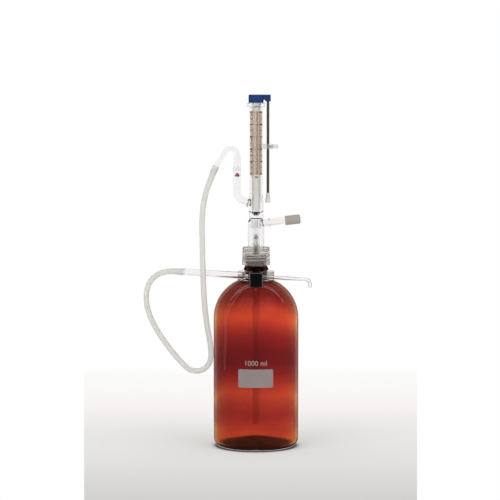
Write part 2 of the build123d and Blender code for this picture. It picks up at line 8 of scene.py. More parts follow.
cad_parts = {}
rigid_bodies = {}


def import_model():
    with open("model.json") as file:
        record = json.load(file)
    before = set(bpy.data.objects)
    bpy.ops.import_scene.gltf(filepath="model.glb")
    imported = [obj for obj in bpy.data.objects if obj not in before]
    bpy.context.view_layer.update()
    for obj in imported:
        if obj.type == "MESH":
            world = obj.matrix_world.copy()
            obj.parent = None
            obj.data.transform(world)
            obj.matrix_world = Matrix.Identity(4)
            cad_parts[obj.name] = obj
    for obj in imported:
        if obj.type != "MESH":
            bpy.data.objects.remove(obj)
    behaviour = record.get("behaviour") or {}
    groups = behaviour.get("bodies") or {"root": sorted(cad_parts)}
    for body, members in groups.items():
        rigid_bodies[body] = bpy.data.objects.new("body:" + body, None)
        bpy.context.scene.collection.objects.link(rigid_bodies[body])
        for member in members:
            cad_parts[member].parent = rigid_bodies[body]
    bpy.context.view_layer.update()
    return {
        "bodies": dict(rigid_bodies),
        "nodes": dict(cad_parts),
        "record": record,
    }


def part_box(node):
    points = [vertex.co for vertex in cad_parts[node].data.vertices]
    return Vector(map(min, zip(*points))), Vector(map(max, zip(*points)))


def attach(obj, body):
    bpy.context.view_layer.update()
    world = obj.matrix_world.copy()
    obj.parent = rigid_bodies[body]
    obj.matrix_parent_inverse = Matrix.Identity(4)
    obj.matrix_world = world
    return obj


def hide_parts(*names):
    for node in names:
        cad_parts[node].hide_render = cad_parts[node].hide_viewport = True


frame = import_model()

mm = 0.001
scene = bpy.context.scene
scene.view_settings.view_transform = "Standard"
own = set(frame["nodes"].values()) | set(frame["bodies"].values())
for left_over in [o for o in bpy.data.objects if o not in own]:
    bpy.data.objects.remove(left_over)

GLASS_BODY = "bottle_and_glass"
TILT = radians(4.2)
CAMERA_AT = Vector((-6.72 * mm, -2111.9 * mm, 374.66 * mm))
FOCAL_PIXELS = 1900.0
PICTURE_PIXELS = 500.0
SENSOR = 36.0

# ---------------------------------------------------------------- camera

camera_data = bpy.data.cameras.new("camera")
camera_data.sensor_width = SENSOR
camera_data.lens = FOCAL_PIXELS * SENSOR / PICTURE_PIXELS
camera = bpy.data.objects.new("camera", camera_data)
camera.location = CAMERA_AT
camera.rotation_euler = (pi / 2 - TILT, 0, 0)
scene.collection.objects.link(camera)
scene.camera = camera

# ---------------------------------------------------------------- hose

HOSE_D = 6.0 * mm
HOSE_ROUTE = [
    (-44.223, 0.0, 312.813),
    (-50.2, -1.2, 299.6),
    (-56.6, -7.6, 281.6),
    (-59.8, -18.0, 259.0),
    (-59.2, -30.5, 232.0),
    (-58.2, -37.5, 201.0),
    (-57.3, -38.0, 169.0),
    (-54.2, -35.0, 139.0),
    (-50.4, -33.2, 119.6),
    (-49.5, -32.4, 108.6),
    (-50.0, -31.8, 100.0),
    (-53.8, -31.3, 92.9),
    (-60.5, -30.9, 88.5),
    (-68.5, -30.6, 87.7),
    (-75.9, -30.3, 90.8),
    (-86.6, -29.8, 102.0),
    (-97.6, -29.0, 115.4),
    (-112.4, -28.0, 137.4),
    (-121.0, -27.0, 158.8),
    (-121.2, -26.0, 177.4),
    (-114.6, -24.8, 191.2),
    (-98.9, -24.0, 199.2),
    (-80.2, -24.0, 197.072),
]
HOSE_END_SWELL = 1.26     # times as thick where the hose is stretched over the glass

hose_curve = bpy.data.curves.new("hose_tube", "CURVE")
hose_curve.dimensions = "3D"
hose_line = hose_curve.splines.new("NURBS")
hose_line.points.add(len(HOSE_ROUTE) - 1)
for point, place_mm in zip(hose_line.points, HOSE_ROUTE):
    point.co = (*(c * mm for c in place_mm), 1.0)
    point.radius = HOSE_D / 2
hose_line.order_u = 3
hose_line.use_endpoint_u = True
hose_line.resolution_u = 10
hose_line.points[0].radius *= HOSE_END_SWELL
hose_line.points[-1].radius *= HOSE_END_SWELL
hose_curve.bevel_depth = 1.0
hose_curve.bevel_resolution = 5
hose_curve.use_fill_caps = True
hose = bpy.data.objects.new("hose_tube", hose_curve)
scene.collection.objects.link(hose)
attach(hose, GLASS_BODY)
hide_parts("hose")


# ---------------------------------------------------------------- materials

def put(tree, kind, sockets=None, **settings):
    """A node with its settings and sockets filled in; a socket given another socket is linked to it."""
    made = tree.nodes.new(kind)
    for name, value in settings.items():
        setattr(made, name, value)
    for name, value in (sockets or {}).items():
        if isinstance(value, bpy.types.NodeSocket):
            tree.links.new(value, made.inputs[name])
        else:
            made.inputs[name].default_value = value
    return made


def ramp(tree, value, stops):
    """Colour ramp through (position, colour) stops."""
    made = put(tree, "ShaderNodeValToRGB", {"Fac": value})
    bar = made.color_ramp
    while len(bar.elements) > 1:
        bar.elements.remove(bar.elements[-1])
    for at, colour in stops:
        stop = bar.elements[0] if at == stops[0][0] else bar.elements.new(at)
        stop.position = at
        stop.color = (*colour, 1.0)
    return made.outputs["Color"]


def spread(tree, value, low, high, to_low=0.0, to_high=1.0):
    """A value's range laid onto another range, and held at its ends."""
    return put(tree, "ShaderNodeMapRange", {"Value": value, "From Min": low, "From Max": high, "To Min": to_low,
                                            "To Max": to_high}).outputs["Result"]


def times(tree, one, other):
    """Two colours or vectors multiplied."""
    return put(tree, "ShaderNodeVectorMath", {0: one, 1: other}, operation="MULTIPLY").outputs["Vector"]


def scaled(tree, colour, factor):
    """A colour times a number."""
    return put(tree, "ShaderNodeVectorMath", {0: colour, "Scale": factor}, operation="SCALE").outputs["Vector"]


COLOUR_A, COLOUR_B, COLOUR_OUT = 6, 7, 2    # a Mix node's sockets when it mixes colours


def mixed_colour(tree, mask, one, other):
    """The first colour where the mask is 0, and the other where it is 1."""
    made = put(tree, "ShaderNodeMix", {"Factor": mask}, data_type="RGBA")
    made.inputs[COLOUR_A].default_value = (*one, 1.0)
    made.inputs[COLOUR_B].default_value = (*other, 1.0)
    return made.outputs[COLOUR_OUT]


def height_of(tree, coords, axis="Z"):
    """One coordinate by itself."""
    return put(tree, "ShaderNodeSeparateXYZ", {"Vector": coords}).outputs[axis]


def from_axis(tree, coords):
    """Distance from the upright axis of bottle and barrel."""
    return put(tree, "ShaderNodeVectorMath", {0: times(tree, coords, (1, 1, 0))}, operation="LENGTH").outputs["Value"]


def new_group(name, inputs, outputs):
    """Empty shader node group with (name, socket type, default) inputs and (name, socket type) outputs."""
    group = bpy.data.node_groups.new(name, "ShaderNodeTree")
    for label, kind, default in inputs:
        socket = group.interface.new_socket(label, in_out="INPUT", socket_type=kind)
        if default is not None:
            socket.default_value = default
    for label, kind in outputs:
        group.interface.new_socket(label, in_out="OUTPUT", socket_type=kind)
    return group, group.nodes.new("NodeGroupInput").outputs, group.nodes.new("NodeGroupOutput").inputs


NOISE_SPAN = (0.3, 0.7)     # a noise texture rarely leaves this range


def make_grain_group():
    """Uneven surface: a broad mottle and a fine grain, as a height and as a mask."""
    group, given, result = new_group(
        "uneven_surface",
        [("Vector", "NodeSocketVector", None), ("Mottle Scale", "NodeSocketFloat", 60.0),
         ("Grain Scale", "NodeSocketFloat", 900.0), ("Grain Share", "NodeSocketFloat", 0.4)],
        [("Height", "NodeSocketFloat"), ("Mask", "NodeSocketFloat")])
    mottle = put(group, "ShaderNodeTexNoise",
                 {"Vector": given["Vector"], "Scale": given["Mottle Scale"], "Detail": 3.0})
    grain = put(group, "ShaderNodeTexNoise",
                {"Vector": given["Vector"], "Scale": given["Grain Scale"], "Detail": 2.0})
    height = put(group, "ShaderNodeMix", {"Factor": given["Grain Share"], "A": mottle.outputs["Fac"],
                                          "B": grain.outputs["Fac"]}, data_type="FLOAT")
    group.links.new(height.outputs["Result"], result["Height"])
    group.links.new(spread(group, height.outputs["Result"], *NOISE_SPAN), result["Mask"])
    return group


GRAIN = make_grain_group()


class Finish:
    """A material with its node tree, its shader and an uneven_surface group ready to use."""

    def __init__(self, name, mottle=60.0, grain=900.0, share=0.4, **sockets):
        self.material = bpy.data.materials.new(name)
        self.material.use_nodes = True
        self.tree = self.material.node_tree
        self.shader = self.tree.nodes["Principled BSDF"]
        for label, value in sockets.items():
            self.shader.inputs[label.replace("_", " ")].default_value = value
        self.coords = put(self.tree, "ShaderNodeTexCoord").outputs["Object"]
        self.uneven = put(self.tree, "ShaderNodeGroup", node_tree=GRAIN)
        self.tree.links.new(self.coords, self.uneven.inputs["Vector"])
        self.uneven.inputs["Mottle Scale"].default_value = mottle
        self.uneven.inputs["Grain Scale"].default_value = grain
        self.uneven.inputs["Grain Share"].default_value = share
        self.mask = self.uneven.outputs["Mask"]

    def link(self, socket, label):
        """Feeds one of the shader's sockets."""
        self.tree.links.new(socket, self.shader.inputs[label])

    def colour(self, light, dark):
        """Base colour that wanders between two tones."""
        self.link(mixed_colour(self.tree, self.mask, light, dark), "Base Color")

    def roughness(self, low, high):
        """Gloss that wanders between two values."""
        self.link(spread(self.tree, self.mask, 0.0, 1.0, low, high), "Roughness")

    def bump(self, depth):
        """Relief of that depth in metres."""
        relief = put(self.tree, "ShaderNodeBump",
                     {"Height": self.uneven.outputs["Height"], "Distance": depth, "Strength": 1.0})
        self.link(relief.outputs["Normal"], "Normal")


def plain_finish(name, light, dark, low, high, depth, mottle=60.0, grain=900.0, share=0.4, **sockets):
    """Material whose tone, gloss and relief all wander a little."""
    made = Finish(name, mottle, grain, share, **sockets)
    made.colour(light, dark)
    made.roughness(low, high)
    made.bump(depth)
    return made


# Tones of the amber glass at heights above the bench in mm, whose bright and dark bands are painted light and shade,
# and how the thicker foot and neck darken them.
AMBER_TOP = 214.0
AMBER_GLOW_TONES = [
    (0.0, (0.84, 0.27, 0.16)),
    (17.0, (0.84, 0.27, 0.16)),
    (28.0, (0.60, 0.155, 0.135)),
    (41.0, (0.57, 0.15, 0.125)),
    (52.0, (0.70, 0.22, 0.15)),
    (61.0, (0.76, 0.23, 0.15)),
    (73.0, (0.50, 0.12, 0.11)),
    (98.0, (0.36, 0.085, 0.095)),
    (119.0, (0.47, 0.11, 0.11)),
    (128.0, (0.58, 0.14, 0.12)),
    (137.0, (0.74, 0.21, 0.14)),
    (145.0, (0.82, 0.26, 0.15)),
    (155.0, (0.66, 0.19, 0.135)),
    (164.0, (0.47, 0.12, 0.11)),
    (173.0, (0.41, 0.11, 0.10)),
    (214.0, (0.42, 0.12, 0.10)),
]
AMBER_THICK = [
    (0.0, (0.70, 0.70, 0.66)),
    (4.0, (1.0, 1.0, 1.0)),
    (180.0, (1.0, 1.0, 1.0)),
    (189.0, (0.15, 0.12, 0.11)),
    (199.0, (0.20, 0.15, 0.14)),
    (204.0, (0.42, 0.28, 0.26)),
    (214.0, (0.42, 0.28, 0.26)),
]


BASE_EDGE = (38.5 * mm, 41.5 * mm)      # from the axis: the thick base ends between these
BASE_TOP = (11.0 * mm, 13.0 * mm)       # above the bench: likewise
BASE_SHADE_KEEP, BASE_ROUGHNESS = 0.03, 0.6   # share of the tone that the base keeps, a painted shade for the shadowed floor under it on top of its thick glass, and its dull surface
TONE_WANDER = 5.0 * mm                  # how far the tones drift up and down round the bottle
SIDE_SPAN, SIDE_TONES = 30.0 * mm, (0.93, 1.05)     # the glass is a little lighter towards +X
HALF = 0.5      # the tones of a wall seen edge on are written at half strength, because a ramp holds no more than 1
EDGE_TONES = [(0.0, (HALF, HALF, HALF)), (0.3, (HALF, HALF, HALF)), (0.65, (0.46, 0.95, 0.68)),
              (1.0, (0.46, 1.0, 0.7))]


def amber_glass():
    """Amber glass in banded tones, browner where it is seen edge on and dark and dull in the thick base. The bright
    and dark bands are painted light and shade, and the near-black base is mostly painted shade.
    """
    made = Finish("amber_glass", 14.0, 300.0, 0.05, IOR=1.5, Transmission_Weight=1.0, Roughness=0.0)
    tree = made.tree
    above = height_of(tree, made.coords)
    cloud = put(tree, "ShaderNodeTexNoise", {"Vector": made.coords, "Scale": 18.0, "Detail": 1.0}).outputs["Fac"]
    drift = spread(tree, cloud, *NOISE_SPAN, -TONE_WANDER, TONE_WANDER)
    drifted = put(tree, "ShaderNodeMath", {0: above, 1: drift}, operation="ADD").outputs["Value"]
    # Painted light: the tones by height put bright glow bands and darker shade bands into the glass colour.
    tones, thick = (ramp(tree, spread(tree, height, 0.0, AMBER_TOP * mm),
                         [(at / AMBER_TOP, tone) for at, tone in stops])
                    for height, stops in ((drifted, AMBER_GLOW_TONES), (above, AMBER_THICK)))
    inward = spread(tree, from_axis(tree, made.coords), *BASE_EDGE, 1.0, 0.0)
    lowness = spread(tree, above, *BASE_TOP, 1.0, 0.0)
    base = put(tree, "ShaderNodeMath", {0: inward, 1: lowness}, operation="MULTIPLY").outputs["Value"]
    # Painted shade: the base is darkened nearly to black, standing in for the shadowed floor beneath it more than for
    # its thick glass.
    footed = scaled(tree, times(tree, tones, thick), spread(tree, base, 0.0, 1.0, 1.0, BASE_SHADE_KEEP))
    side = spread(tree, height_of(tree, made.coords, "X"), -SIDE_SPAN, SIDE_SPAN, *SIDE_TONES)
    facing = put(tree, "ShaderNodeLayerWeight", {"Blend": 0.5}).outputs["Facing"]
    sided = scaled(tree, scaled(tree, footed, side), 1 / HALF)
    made.link(times(tree, sided, ramp(tree, facing, EDGE_TONES)), "Base Color")
    made.link(spread(tree, base, 0.0, 1.0, 0.0, BASE_ROUGHNESS), "Roughness")
    made.bump(0.15 * mm)
    return made


def clear_glass(name="clear_glass"):
    """Colourless glass, a little uneven from the flame."""
    made = Finish(name, 35.0, 400.0, 0.05, IOR=1.47, Transmission_Weight=1.0, Roughness=0.0)
    made.colour((0.975, 0.965, 0.965), (0.95, 0.94, 0.94))
    made.bump(0.02 * mm)
    return made


GROUND_ROUGHNESS = 0.09
CONE_TOP = (261.0 * mm, 262.0 * mm)         # height at which the barrel's ground cone ends
SOCKET_WALL = (6.35 * mm, 6.55 * mm)        # from the axis: the ground wall of the socket ends between these


def barrel_glass():
    """Clear glass whose cone, below the rim of the socket, is ground."""
    made = clear_glass("barrel_glass")
    made.link(spread(made.tree, height_of(made.tree, made.coords), *CONE_TOP, GROUND_ROUGHNESS, 0.0), "Roughness")
    return made


def adapter_glass():
    """Clear glass whose socket, the inmost wall, is ground."""
    made = clear_glass("adapter_glass")
    made.link(spread(made.tree, from_axis(made.tree, made.coords), *SOCKET_WALL, GROUND_ROUGHNESS, 0.0), "Roughness")
    return made


def ground_glass():
    """Finely ground glass of the plunger."""
    made = Finish("ground_glass", 150.0, 2500.0, 0.7, IOR=1.47, Transmission_Weight=1.0)
    made.colour((0.97, 0.955, 0.925), (0.92, 0.905, 0.87))
    made.roughness(0.25, 0.4)
    made.bump(0.02 * mm)
    return made


def clear_plastic():
    """Clear moulded plastic."""
    made = Finish("clear_plastic", 90.0, 700.0, 0.1, IOR=1.49, Transmission_Weight=1.0)
    made.colour((0.95, 0.965, 0.96), (0.88, 0.905, 0.89))
    made.roughness(0.0, 0.06)
    made.bump(0.02 * mm)
    return made


def clip_plastic():
    """Clear plastic of the ring round the neck, tinted grey as painted shade for the dark surroundings it shows."""
    made = Finish("clip_plastic", 90.0, 700.0, 0.1, IOR=1.52, Transmission_Weight=1.0)
    made.colour((0.52, 0.50, 0.49), (0.40, 0.385, 0.375))
    made.roughness(0.02, 0.08)
    made.bump(0.03 * mm)
    return made


def stopper_plastic():
    """Slightly cloudy plastic of the stopper and its thumb screw."""
    made = Finish("stopper_plastic", 160.0, 900.0, 0.3, IOR=1.49, Transmission_Weight=0.85)
    made.colour((0.88, 0.885, 0.86), (0.78, 0.79, 0.76))
    made.roughness(0.15, 0.3)
    made.bump(0.03 * mm)
    return made


def milky_plastic():
    """Milky, warm plastic of the screw cap."""
    made = Finish("milky_plastic", 80.0, 1200.0, 0.5, IOR=1.5, Transmission_Weight=0.94)
    made.colour((0.98, 0.95, 0.905), (0.955, 0.92, 0.865))
    made.roughness(0.14, 0.22)
    made.bump(0.02 * mm)
    return made


EDGE_HIGHLIGHT = (0.35 * mm, 0.75 * mm)      # the painted highlight on the edges fades out between these


def black_plastic(node):
    """Black plastic whose edges are painted paler, a painted highlight where they catch the light, on a block-shaped
    piece.
    """
    made = Finish("black_plastic", 200.0, 1800.0, 0.5, Specular_IOR_Level=0.4)
    low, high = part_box(node)
    middle = [(a + b) / 2 for a, b in zip(low, high)]
    half = [(b - a) / 2 for a, b in zip(low, high)]
    offset = put(made.tree, "ShaderNodeVectorMath", {0: made.coords, 1: middle}, operation="SUBTRACT")
    out = put(made.tree, "ShaderNodeVectorMath", {0: offset.outputs["Vector"]}, operation="ABSOLUTE")
    depth = put(made.tree, "ShaderNodeVectorMath", {0: half, 1: out.outputs["Vector"]}, operation="SUBTRACT")
    split = put(made.tree, "ShaderNodeSeparateXYZ", {"Vector": depth.outputs["Vector"]})
    x, y, z = (split.outputs[axis] for axis in "XYZ")
    nearer = put(made.tree, "ShaderNodeMath", {0: x, 1: y}, operation="MINIMUM")
    farther = put(made.tree, "ShaderNodeMath", {0: x, 1: y}, operation="MAXIMUM")
    lesser = put(made.tree, "ShaderNodeMath", {0: farther.outputs[0], 1: z}, operation="MINIMUM")
    second = put(made.tree, "ShaderNodeMath", {0: nearer.outputs[0], 1: lesser.outputs[0]}, operation="MAXIMUM")
    # Painted highlight: the edges are paler than the black, as if catching the light.
    edge = spread(made.tree, second.outputs[0], *EDGE_HIGHLIGHT, 1.0, 0.0)
    made.link(mixed_colour(made.tree, edge, (0.004, 0.004, 0.004), (0.13, 0.125, 0.12)), "Base Color")
    made.roughness(0.25, 0.4)
    made.bump(0.01 * mm)
    return made


def silicone():
    """Translucent hose silicone."""
    made = Finish("silicone", 120.0, 1800.0, 0.5, IOR=1.41, Transmission_Weight=0.3)
    made.colour((0.93, 0.905, 0.86), (0.87, 0.845, 0.80))
    made.roughness(0.35, 0.5)
    made.bump(0.01 * mm)
    return made


def fluoroplastic():
    """Nearly clear fluoroplastic of the dip tube, the inlet seat and the cap's washer."""
    made = Finish("fluoroplastic", 90.0, 1500.0, 0.5, IOR=1.35, Transmission_Weight=0.95)
    made.colour((0.97, 0.965, 0.95), (0.92, 0.915, 0.90))
    made.roughness(0.15, 0.25)
    made.bump(0.02 * mm)
    return made


FINISHES = {
    "amber_glass": amber_glass(),
    "clear_glass": clear_glass(),
    "barrel_glass": barrel_glass(),
    "adapter_glass": adapter_glass(),
    "ground_glass": ground_glass(),
    "clear_plastic": clear_plastic(),
    "clip_plastic": clip_plastic(),
    "stopper_plastic": stopper_plastic(),
    "milky_plastic": milky_plastic(),
    "silicone": silicone(),
    "fluoroplastic": fluoroplastic(),
    "black_plastic": black_plastic("nozzle_block"),
    "blue_plastic": plain_finish("blue_plastic", (0.016, 0.055, 0.22), (0.01, 0.034, 0.15), 0.28, 0.42, 0.03 * mm,
                                 120.0, 2600.0, 0.6, Specular_IOR_Level=0.5),
    "dark_rod": plain_finish("dark_rod", (0.10, 0.078, 0.055), (0.07, 0.052, 0.036), 0.32, 0.5, 0.01 * mm,
                             90.0, 3000.0, 0.6),
    "red_ball": plain_finish("red_ball", (0.50, 0.012, 0.085), (0.40, 0.008, 0.06), 0.08, 0.16, 0.005 * mm,
                             200.0, 2500.0, 0.5),
    "white_ball": plain_finish("white_ball", (0.86, 0.86, 0.83), (0.80, 0.80, 0.76), 0.08, 0.16, 0.005 * mm,
                               200.0, 2500.0, 0.5),
    "grey_rubber": plain_finish("grey_rubber", (0.48, 0.43, 0.37), (0.42, 0.38, 0.33), 0.55, 0.75, 0.05 * mm,
                                110.0, 2200.0, 0.6),
    "dark_rubber": plain_finish("dark_rubber", (0.022, 0.02, 0.02), (0.012, 0.011, 0.011), 0.45, 0.6, 0.02 * mm,
                                110.0, 2200.0, 0.6),
    "tan_print": plain_finish("tan_print", (0.86, 0.64, 0.45), (0.80, 0.58, 0.40), 0.4, 0.6, 0.005 * mm,
                              150.0, 2500.0, 0.6, Alpha=0.22),
    "tan_stripe": plain_finish("tan_stripe", (0.42, 0.20, 0.09), (0.36, 0.16, 0.07), 0.4, 0.6, 0.005 * mm,
                               150.0, 2500.0, 0.6, Alpha=0.3),
    "brown_print": plain_finish("brown_print", (0.12, 0.05, 0.026), (0.08, 0.034, 0.016), 0.4, 0.6, 0.005 * mm,
                                200.0, 2500.0, 0.6),
    "thin_brown_print": plain_finish("thin_brown_print", (0.20, 0.09, 0.045), (0.15, 0.06, 0.03), 0.4, 0.6,
                                     0.005 * mm, 200.0, 2500.0, 0.6, Alpha=0.3),
    "pale_print": plain_finish("pale_print", (0.36, 0.30, 0.295), (0.29, 0.235, 0.23), 0.5, 0.7, 0.01 * mm,
                               100.0, 2500.0, 0.6),
}

slot_of = {part["node"]: part["material_slot"] for part in frame["record"]["subparts"]}
own_finish = {"barrel": "barrel_glass", "adapter": "adapter_glass", "stopper": "stopper_plastic",
              "stopper_screw": "stopper_plastic", "neck_clip": "clip_plastic", "nozzle_block": "black_plastic"}
for name, piece in frame["nodes"].items():
    piece.data.materials.clear()
    piece.data.materials.append(FINISHES[own_finish.get(name, slot_of[name])].material)
hose_curve.materials.append(FINISHES["silicone"].material)


# ---------------------------------------------------------------- new pieces

def show(name, shape, finish, body):
    """Turns a bmesh into a piece that rides on a body."""
    mesh = bpy.data.meshes.new(name)
    bmesh.ops.recalc_face_normals(shape, faces=shape.faces)
    for face in shape.faces:
        face.smooth = True
    shape.to_mesh(mesh)
    shape.free()
    mesh.set_sharp_from_angle(angle=radians(35))
    mesh.materials.append(FINISHES[finish].material)
    piece = bpy.data.objects.new(name, mesh)
    scene.collection.objects.link(piece)
    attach(piece, body)
    return piece


def ring_section(shape, inner, outer, low, high):
    """Four-cornered section in the XZ plane, as a face."""
    corners = [shape.verts.new(c) for c in ((inner, 0, low), (outer, 0, low), (outer, 0, high), (inner, 0, high))]
    return shape.faces.new(corners)


def swept(shape, start, angle, steps, rise=0.0):
    """Spins a section face about Z; a part turn keeps both end faces, a whole one is closed."""
    edges, corners = list(start.edges), list(start.verts)
    if abs(angle - 2 * pi) < 1e-6 and not rise:
        bmesh.ops.delete(shape, geom=[start], context="FACES_ONLY")
        bmesh.ops.spin(shape, geom=edges + corners, axis=(0, 0, 1), cent=(0, 0, 0), angle=angle, steps=steps,
                       use_merge=True)
    else:
        bmesh.ops.duplicate(shape, geom=[start, *edges, *corners])
        bmesh.ops.spin(shape, geom=[start, *edges, *corners], axis=(0, 0, 1), cent=(0, 0, 0),
                       dvec=(0, 0, rise / steps), angle=angle, steps=steps)
        bmesh.ops.remove_doubles(shape, verts=shape.verts, dist=1e-7)
    return shape


def band(inner, outer, low, high, start=-180.0, end=180.0, per_turn=96):
    """Thin ring, or the arc of one between two angles measured from the front, in degrees."""
    shape = bmesh.new()
    angle = radians(end - start)
    swept(shape, ring_section(shape, inner, outer, low, high), angle, max(2, round(per_turn * angle / (2 * pi))))
    bmesh.ops.rotate(shape, verts=shape.verts, cent=(0, 0, 0),
                     matrix=Matrix.Rotation(radians(start) - pi / 2, 3, "Z"))
    return shape


def join(shapes):
    """Several bmeshes as one."""
    whole = bmesh.new()
    for shape in shapes:
        part = bpy.data.meshes.new("part")
        shape.to_mesh(part)
        shape.free()
        whole.from_mesh(part)
        bpy.data.meshes.remove(part)
    return whole


def wrap(shape, radius):
    """Bends a flat shape in the XZ plane, its back at Y 0, onto the front of a round wall."""
    for vert in shape.verts:
        angle = vert.co.x / radius
        out = radius - vert.co.y
        vert.co = (out * sin(angle), -out * cos(angle), vert.co.z)
    return shape


def lettering(words, height, x, z, depth, bold=0.0):
    """Plain letters in the XZ plane, centred on x with their foot at z."""
    text = bpy.data.curves.new("letters", "FONT")
    text.body = words
    text.align_x = "CENTER"
    text.size = height / 0.7
    text.extrude = depth / 2
    text.offset = bold
    text.resolution_u = 4
    holder = bpy.data.objects.new("letters", text)
    scene.collection.objects.link(holder)
    bpy.context.view_layer.update()
    mesh = bpy.data.meshes.new_from_object(holder.evaluated_get(bpy.context.evaluated_depsgraph_get()))
    shape = bmesh.new()
    shape.from_mesh(mesh)
    bpy.data.objects.remove(holder)
    bpy.data.curves.remove(text)
    bpy.data.meshes.remove(mesh)
    bmesh.ops.remove_doubles(shape, verts=shape.verts, dist=1e-7)
    bmesh.ops.rotate(shape, verts=shape.verts, cent=(0, 0, 0), matrix=Matrix.Rotation(pi / 2, 3, "X"))
    bmesh.ops.translate(shape, verts=shape.verts, vec=(x, -depth / 2, z))
    return shape


# Graduations of the barrel: 0 ml at the top, where the stopper's lower edge then stands.
PRINT_T = 0.02 * mm     # thickness of a printed mark
BARREL_R = 6.955 * mm
ZERO_Z = 372.83 * mm
ML = 13.672 * mm
FULL = 5                # volume at the lowest mark
BAND_LOW, BAND_HIGH = ZERO_Z - FULL * ML - 1.2 * mm, ZERO_Z + 1.4 * mm
STRIPE_INSET = 0.6 * mm
MARK_H = 0.42 * mm
print_in = BARREL_R + PRINT_T / 2
print_out = print_in + PRINT_T
ink_in = print_out + PRINT_T / 2
ink_out = ink_in + PRINT_T

show("scale_band", band(print_in, print_out, BAND_LOW, BAND_HIGH), "tan_print", GLASS_BODY)
show("scale_stripe", band(ink_in, ink_out, BAND_LOW + STRIPE_INSET, BAND_HIGH - STRIPE_INSET, 2, 17), "tan_stripe",
     GLASS_BODY)

marks, faint_marks = [], []
for tenth in range(10 * FULL + 1):
    z = ZERO_Z - tenth * ML / 10
    if tenth % 10 == 0:
        reach, thick, gap = 96, 1.15 * mm, 36
        faint_marks.append(band(ink_in, ink_out, z - MARK_H / 2, z + MARK_H / 2, -gap, gap))
    elif tenth % 5 == 0:
        reach, thick, gap = 66, 0.7 * mm, 34
    else:
        reach, thick, gap = 54, MARK_H, 32
    for low_end, high_end in ((-reach, -gap), (gap, reach)):
        marks.append(band(ink_in, ink_out, z - thick / 2, z + thick / 2, low_end, high_end))
show("scale_marks", join(marks), "brown_print", GLASS_BODY)
show("faint_scale_marks", join(faint_marks), "thin_brown_print", GLASS_BODY)

figures = [lettering(str(ml), 2.6 * mm, -6.1 * mm, ZERO_Z - ml * ML - 3.4 * mm, PRINT_T) for ml in range(FULL + 1)]
figures.append(lettering("ml", 2.0 * mm, 0.3 * mm, ZERO_Z - FULL * ML - 4.2 * mm, PRINT_T, 0.16 * mm))
show("scale_figures", wrap(join(figures), ink_in), "brown_print", GLASS_BODY)

# Print on the bottle: its volume, and a panel to write on.
BOTTLE_R = 47.5 * mm
PANEL_W, PANEL_LOW, PANEL_HIGH = 39.3 * mm, 71.6 * mm, 91.8 * mm
PRINT_X = -0.5 * mm     # middle of both prints
PRINT_FOOT, PRINT_H = 95.9 * mm, 5.5 * mm


def panel():
    """Plate with rounded corners, cut into upright strips so that it can bend."""
    shape = bmesh.new()
    bmesh.ops.create_grid(shape, x_segments=1, y_segments=1, size=0.5)
    bmesh.ops.scale(shape, verts=shape.verts, vec=(PANEL_W, PANEL_HIGH - PANEL_LOW, 1))
    bmesh.ops.bevel(shape, geom=list(shape.verts), offset=1.8 * mm, offset_type="OFFSET", segments=6, profile=0.5,
                    affect="VERTICES", material=-1)
    strips = 30
    for i in range(1, strips):
        bmesh.ops.bisect_plane(shape, geom=list(shape.verts) + list(shape.edges) + list(shape.faces),
                               plane_co=(PANEL_W * (i / strips - 0.5), 0, 0), plane_no=(1, 0, 0))
    bmesh.ops.rotate(shape, verts=shape.verts, cent=(0, 0, 0), matrix=Matrix.Rotation(pi / 2, 3, "X"))
    bmesh.ops.solidify(shape, geom=list(shape.faces), thickness=PRINT_T)
    bmesh.ops.translate(shape, verts=shape.verts, vec=(PRINT_X, 0, (PANEL_LOW + PANEL_HIGH) / 2))
    return shape


show("writing_panel", wrap(panel(), BOTTLE_R + PRINT_T), "pale_print", GLASS_BODY)
volume_print = lettering("1000 ml", PRINT_H, PRINT_X, PRINT_FOOT, PRINT_T, 0.12 * mm)
show("volume_print", wrap(volume_print, BOTTLE_R - PRINT_T / 2), "pale_print", GLASS_BODY)

# Screw threads, on the neck and inside the cap.
PITCH = 3.4 * mm
NECK_R = 11.8 * mm
CAP_BORE_R = 13.6 * mm


def thread(root, crest, foot, top_w, low, turns, fade=30.0):
    """Helical ridge that fades out at both ends."""
    shape = bmesh.new()
    corners = [(root, -foot / 2), (crest, -top_w / 2), (crest, top_w / 2), (root, foot / 2)]
    start = shape.faces.new([shape.verts.new((r, 0, low + h)) for r, h in corners])
    steps = round(64 * turns)
    swept(shape, start, 2 * pi * turns, steps, PITCH * turns)
    span = PITCH * turns
    for vert in shape.verts:
        r = Vector((vert.co.x, vert.co.y)).length
        along = (vert.co.z - low) / span
        near_end = min(along, 1 - along) * turns * 360 / fade
        if near_end < 1 and abs(r - crest) < 1e-6:
            keep = max(0.05, near_end)
            scale = (root + (crest - root) * keep) / r
            vert.co.x *= scale
            vert.co.y *= scale
    return shape


show("neck_thread", thread(NECK_R - 0.02 * mm, 13.0 * mm, 2.2 * mm, 0.8 * mm, 204.6 * mm, 2.2), "amber_glass",
     GLASS_BODY)
show("cap_thread", thread(CAP_BORE_R + 0.02 * mm, 12.5 * mm, 1.8 * mm, 0.6 * mm, 206.3 * mm, 2.0), "milky_plastic",
     "screw_cap")

# ---------------------------------------------------------------- floor, backdrop and light

NEAR_Y, FAR_Y = -0.6, 1.3           # the floor's ends
MIDDLE_X = CAMERA_AT.x + 0.6 * mm   # the floor's middle line
PHOTO_HALF_PIXELS = 166.5
FLAG_HALF = 166.0                   # the dark flag goes this many degrees each way from the front
FLOOR_SPAN = (-0.3, 0.7)            # the floor's tones run from the first Y to the second
FLOOR_TO_WHITE = (0.55, 0.68)       # and it fades into the backdrop between these
GLOW, GLOW_SHARE = 2.0, 0.2         # the floor's own glow and its share: painted light that keeps the floor at its tone whatever the lamps give
CONTACT_FAR = 80.0 * mm
